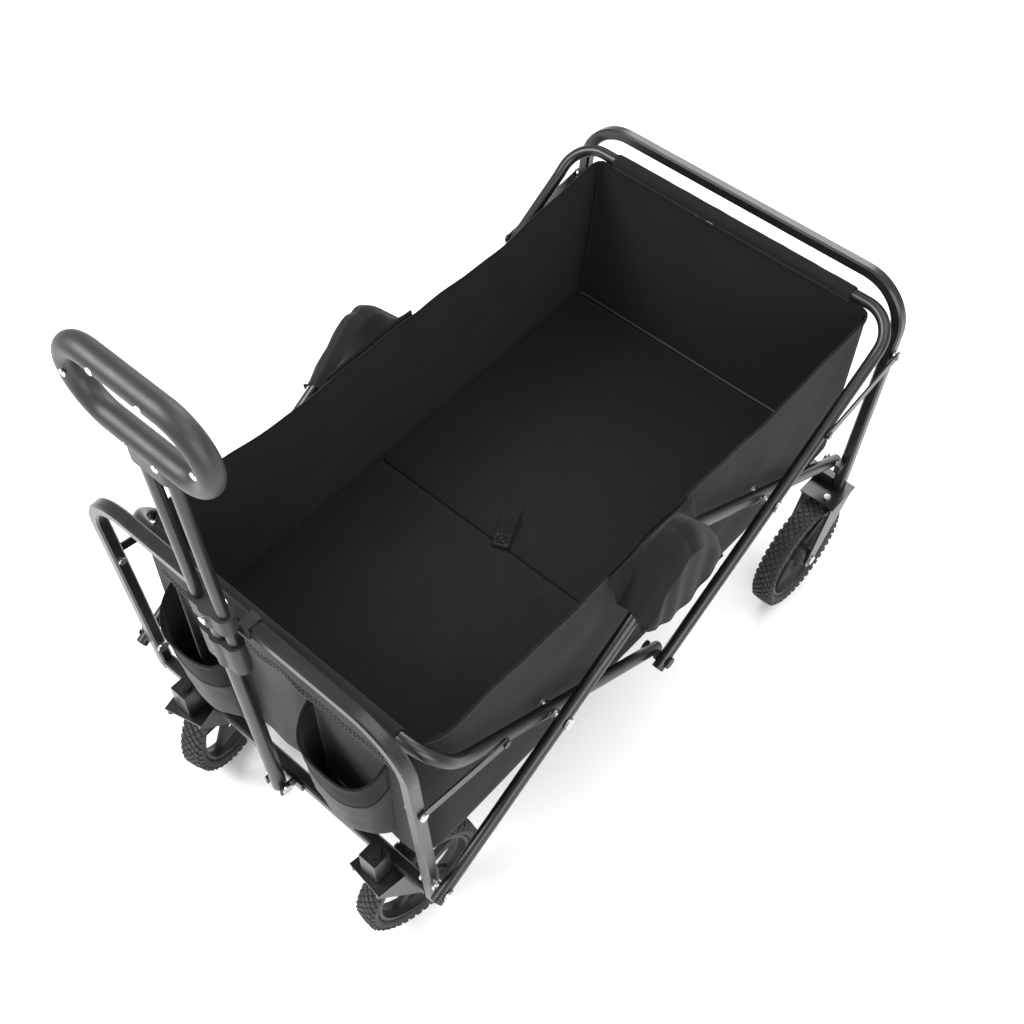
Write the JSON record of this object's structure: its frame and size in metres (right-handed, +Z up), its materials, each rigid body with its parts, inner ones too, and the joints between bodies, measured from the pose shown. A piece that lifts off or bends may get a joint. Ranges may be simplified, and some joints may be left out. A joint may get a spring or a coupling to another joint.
{
  "type": "folding camp wagon",
  "caption": "Collapsible four-wheeled pull wagon with a black fabric basket on a folding scissor frame and a telescoping handle.",
  "frame": {"origin": "on the ground under the middle of the wagon's bounding box", "axes": "+Z up, +X towards the rear (fixed wheels), +Y towards the wagon's left side; the handle is at -X"},
  "size_m": [0.9394, 0.5482, 0.9723],
  "materials": {
    "frame_steel": "satin black powder coat",
    "zinc": "zinc plated",
    "black_plastic": "fine moulded texture",
    "grip_foam": "soft matt",
    "tyre_rubber": "matt with moulded tread",
    "basket_cloth": "plain-woven coated polyester",
    "panel_cloth": "plain-woven coated polyester, seen in the light",
    "floor_cloth": "plain-woven coated polyester over board"
  },
  "bodies": {
    "front_frame": {"front_frame": "frame_steel", "front_crossbar": "frame_steel", "front_feet": "black_plastic", "caster_housings": "frame_steel", "handle_bracket": "frame_steel", "handle_pivot_bolt": "zinc", "handle_clip": "black_plastic", "front_arm_pins": "zinc", "front_link_pins": "zinc"},
    "caster_left": {"caster_fork_left": "frame_steel", "kingpin_left": "frame_steel", "front_axle_left": "zinc"},
    "caster_right": {"caster_fork_right": "frame_steel", "kingpin_right": "frame_steel", "front_axle_right": "zinc"},
    "front_wheel_left": {"front_rim_left": "black_plastic", "front_tyre_left": "tyre_rubber"},
    "front_wheel_right": {"front_rim_right": "black_plastic", "front_tyre_right": "tyre_rubber"},
    "front_arms": {"front_arms": "frame_steel", "front_arm_caps": "black_plastic", "front_cross_pins": "zinc", "top_joint_pins": "black_plastic"},
    "front_hoop": {"front_hoop": "frame_steel", "front_hoop_caps": "black_plastic", "front_hem": "basket_cloth"},
    "rear_arms": {"rear_arms": "frame_steel", "rear_arm_caps": "black_plastic", "rear_cross_pins": "zinc"},
    "rear_hoop": {"rear_hoop": "frame_steel", "rear_hoop_caps": "black_plastic", "rear_hem": "basket_cloth", "lower_joint_pins": "black_plastic"},
    "rear_frame": {"rear_frame": "frame_steel", "rear_crossbar": "frame_steel", "rear_arm_pins": "zinc", "rear_link_pins": "zinc", "rear_forks": "frame_steel", "rear_fork_bolts": "zinc", "rear_axles": "zinc"},
    "rear_wheel_left": {"rear_rim_left": "black_plastic", "rear_tyre_left": "tyre_rubber"},
    "rear_wheel_right": {"rear_rim_right": "black_plastic", "rear_tyre_right": "tyre_rubber"},
    "front_links": {"front_links": "frame_steel"},
    "rear_links": {"rear_links": "frame_steel"},
    "handle_lower": {"lower_tube": "frame_steel", "tube_connector": "black_plastic", "connector_rivet": "zinc"},
    "handle_upper": {"upper_tubes": "frame_steel", "tube_slider": "black_plastic", "grip_front": "grip_foam", "grip_back": "grip_foam"},
    "basket": {"basket": "basket_cloth", "front_flap": "panel_cloth", "cup_pockets": "panel_cloth", "handholds": "basket_cloth"},
    "floor_front": {"floor_board_front": "floor_cloth"},
    "floor_rear": {"floor_board_rear": "floor_cloth", "pull_tab": "floor_cloth"}
  },
  "joints": [
    {"name": "fold", "type": "hinge", "parent": "front_frame", "child": "front_arms", "pos_m": [-0.40444, 0, 0.238], "axis": [0, -1, 0], "range_deg": [0, 51.44], "deforming": ["basket", "front_flap", "cup_pockets", "handholds"]},
    {"name": "front_hoop_turn", "type": "hinge", "parent": "front_arms", "child": "front_hoop", "pos_m": [-0.20094, 0, 0.362], "axis": [0, -1, 0], "range_deg": [-97.31, 0]},
    {"name": "rear_arms_turn", "type": "hinge", "parent": "front_arms", "child": "rear_arms", "pos_m": [0.00256, 0, 0.486], "axis": [0, -1, 0], "range_deg": [-97.31, 0]},
    {"name": "rear_hoop_turn", "type": "hinge", "parent": "rear_arms", "child": "rear_hoop", "pos_m": [0.20606, 0, 0.362], "axis": [0, -1, 0], "range_deg": [0, 97.31]},
    {"name": "rear_frame_turn", "type": "hinge", "parent": "rear_arms", "child": "rear_frame", "pos_m": [0.40956, 0, 0.238], "axis": [0, -1, 0], "range_deg": [0, 56.06]},
    {"name": "front_links_turn", "type": "hinge", "parent": "front_frame", "child": "front_links", "pos_m": [-0.41434, 0, 0.44052], "axis": [0, -1, 0], "range_deg": [0, 94.07]},
    {"name": "rear_links_turn", "type": "hinge", "parent": "rear_frame", "child": "rear_links", "pos_m": [0.44867, 0, 0.44288], "axis": [0, -1, 0], "range_deg": [-97.99, 0]},
    {"name": "basket_turn", "type": "hinge", "parent": "front_hoop", "child": "basket", "pos_m": [-0.38627, 0, 0.50285], "axis": [0, -1, 0], "range_deg": [0, 48.66]},
    {"name": "floor_front_turn", "type": "hinge", "parent": "basket", "child": "floor_front", "pos_m": [-0.40502, 0, 0.2768], "axis": [0, -1, 0], "range_deg": [0, 84.02]},
    {"name": "floor_rear_turn", "type": "hinge", "parent": "floor_front", "child": "floor_rear", "pos_m": [-0.01544, 0, 0.2568], "axis": [0, -1, 0], "range_deg": [-162.02, 0]},
    {"name": "caster_left_swivel", "type": "hinge", "parent": "front_frame", "child": "caster_left", "pos_m": [-0.42343, 0.166, 0.1891], "axis": [0, 0, 1], "continuous": true},
    {"name": "front_wheel_left_spin", "type": "hinge", "parent": "caster_left", "child": "front_wheel_left", "pos_m": [-0.36812, 0.17979, 0.089], "axis": [-0.2419, 0.9703, 0], "continuous": true},
    {"name": "caster_right_swivel", "type": "hinge", "parent": "front_frame", "child": "caster_right", "pos_m": [-0.42343, -0.166, 0.1891], "axis": [0, 0, 1], "continuous": true},
    {"name": "front_wheel_right_spin", "type": "hinge", "parent": "caster_right", "child": "front_wheel_right", "pos_m": [-0.36686, -0.17295, 0.089], "axis": [0.1219, 0.9925, 0], "continuous": true},
    {"name": "rear_wheel_left_spin", "type": "hinge", "parent": "rear_frame", "child": "rear_wheel_left", "pos_m": [0.3537, 0.246, 0.089], "axis": [0, 1, 0], "continuous": true},
    {"name": "rear_wheel_right_spin", "type": "hinge", "parent": "rear_frame", "child": "rear_wheel_right", "pos_m": [0.3537, -0.246, 0.089], "axis": [0, 1, 0], "continuous": true},
    {"name": "handle_tilt", "type": "hinge", "parent": "front_frame", "child": "handle_lower", "pos_m": [-0.42543, 0, 0.197], "axis": [0, -1, 0], "range_deg": [0, 85]},
    {"name": "handle_slide", "type": "slide", "parent": "handle_lower", "child": "handle_upper", "axis": [-0.0416, 0, 0.9991], "range_m": [-0.205, 0]}
  ],
  "couplings": [
    {"joint": "front_hoop_turn", "follows": "fold", "ratio": -1.8911},
    {"joint": "rear_arms_turn", "follows": "fold", "ratio": -1.8911},
    {"joint": "rear_hoop_turn", "follows": "fold", "ratio": 1.8911},
    {"joint": "rear_frame_turn", "follows": "fold", "ratio": 1.0894},
    {"joint": "front_links_turn", "follows": "fold", "ratio": 1.8281},
    {"joint": "rear_links_turn", "follows": "fold", "ratio": -1.9045},
    {"joint": "basket_turn", "follows": "fold", "ratio": 0.94557},
    {"joint": "floor_front_turn", "follows": "fold", "ratio": 1.6328},
    {"joint": "floor_rear_turn", "follows": "fold", "ratio": -3.149}
  ]
}
